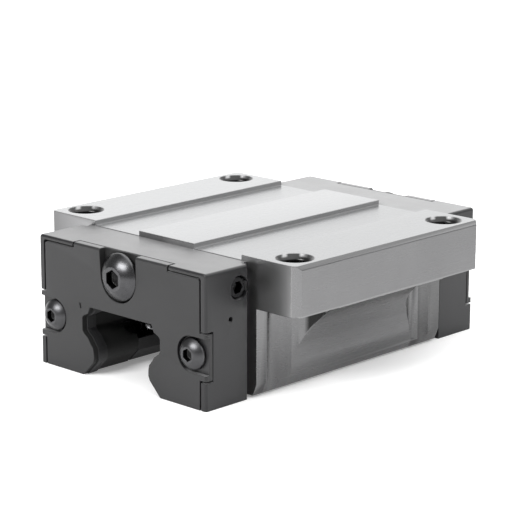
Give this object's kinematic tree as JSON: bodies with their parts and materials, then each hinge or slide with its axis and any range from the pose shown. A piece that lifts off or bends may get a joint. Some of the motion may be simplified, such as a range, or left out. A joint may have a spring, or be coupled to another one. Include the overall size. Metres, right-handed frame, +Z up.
{
  "type": "linear guide carriage",
  "caption": "Flanged carriage that runs along a profile rail on recirculating balls, with end caps, wiper seals, lubrication ports and tapped fixing holes.",
  "frame": {"origin": "under the middle of the carriage, level with the bottom faces of its end caps", "axes": "+Y along the rail, towards the rear end cap; +X across the rail, to the right of someone facing along +Y; +Z up, out of the mounting face"},
  "size_m": [0.063, 0.0748, 0.025],
  "materials": {
    "ground_steel": "ground and satin, bright on the top pads",
    "cap_plastic": "dark grey, fine moulded grain",
    "plate_plastic": "dark grey, fine moulded grain",
    "retainer_plastic": "black, smooth",
    "seal_rubber": "black, matt",
    "screw_steel": "dark burnished, bright edges",
    "ball_steel": "polished bearing steel"
  },
  "bodies": {
    "carriage": {"carriage_body": "ground_steel", "upper_retainer_left": "retainer_plastic", "middle_retainer_left": "retainer_plastic", "lower_seal_strip_left": "seal_rubber", "upper_return_tube_left": "retainer_plastic", "lower_return_tube_left": "retainer_plastic", "upper_retainer_right": "retainer_plastic", "middle_retainer_right": "retainer_plastic", "lower_seal_strip_right": "seal_rubber", "upper_return_tube_right": "retainer_plastic", "lower_return_tube_right": "retainer_plastic", "front_end_cap": "cap_plastic", "front_plate": "plate_plastic", "front_wiper_seal": "seal_rubber", "front_lube_plug_screw": "screw_steel", "front_plate_screw_left": "screw_steel", "front_port_plug_left": "screw_steel", "front_return_guide_left": "retainer_plastic", "front_plate_screw_right": "screw_steel", "front_port_plug_right": "screw_steel", "front_return_guide_right": "retainer_plastic", "rear_end_cap": "cap_plastic", "rear_plate": "plate_plastic", "rear_wiper_seal": "seal_rubber", "rear_lube_plug_screw": "screw_steel", "rear_plate_screw_left": "screw_steel", "rear_port_plug_left": "screw_steel", "rear_return_guide_left": "retainer_plastic", "rear_plate_screw_right": "screw_steel", "rear_port_plug_right": "screw_steel", "rear_return_guide_right": "retainer_plastic"},
    "upper_left_loaded": {"upper_loaded_balls_left": "ball_steel"},
    "upper_left_returning": {"upper_returning_balls_left": "ball_steel"},
    "lower_left_loaded": {"lower_loaded_balls_left": "ball_steel"},
    "lower_left_returning": {"lower_returning_balls_left": "ball_steel"},
    "upper_right_loaded": {"upper_loaded_balls_right": "ball_steel"},
    "upper_right_returning": {"upper_returning_balls_right": "ball_steel"},
    "lower_right_loaded": {"lower_loaded_balls_right": "ball_steel"},
    "lower_right_returning": {"lower_returning_balls_right": "ball_steel"}
  },
  "joints": [
    {"name": "upper_left_loaded_roll", "type": "slide", "parent": "carriage", "child": "upper_left_loaded", "axis": [0, 1, 0], "range_m": [-0.002, 0.002]},
    {"name": "upper_left_returning_roll", "type": "slide", "parent": "carriage", "child": "upper_left_returning", "axis": [0, 1, 0], "range_m": [-0.002, 0.002]},
    {"name": "lower_left_loaded_roll", "type": "slide", "parent": "carriage", "child": "lower_left_loaded", "axis": [0, 1, 0], "range_m": [-0.002, 0.002]},
    {"name": "lower_left_returning_roll", "type": "slide", "parent": "carriage", "child": "lower_left_returning", "axis": [0, 1, 0], "range_m": [-0.002, 0.002]},
    {"name": "upper_right_loaded_roll", "type": "slide", "parent": "carriage", "child": "upper_right_loaded", "axis": [0, 1, 0], "range_m": [-0.002, 0.002]},
    {"name": "upper_right_returning_roll", "type": "slide", "parent": "carriage", "child": "upper_right_returning", "axis": [0, 1, 0], "range_m": [-0.002, 0.002]},
    {"name": "lower_right_loaded_roll", "type": "slide", "parent": "carriage", "child": "lower_right_loaded", "axis": [0, 1, 0], "range_m": [-0.002, 0.002]},
    {"name": "lower_right_returning_roll", "type": "slide", "parent": "carriage", "child": "lower_right_returning", "axis": [0, 1, 0], "range_m": [-0.002, 0.002]}
  ],
  "couplings": [
    {"joint": "upper_left_returning_roll", "follows": "upper_left_loaded_roll", "ratio": -1},
    {"joint": "lower_left_returning_roll", "follows": "lower_left_loaded_roll", "ratio": -1},
    {"joint": "upper_right_returning_roll", "follows": "upper_right_loaded_roll", "ratio": -1},
    {"joint": "lower_right_returning_roll", "follows": "lower_right_loaded_roll", "ratio": -1}
  ]
}
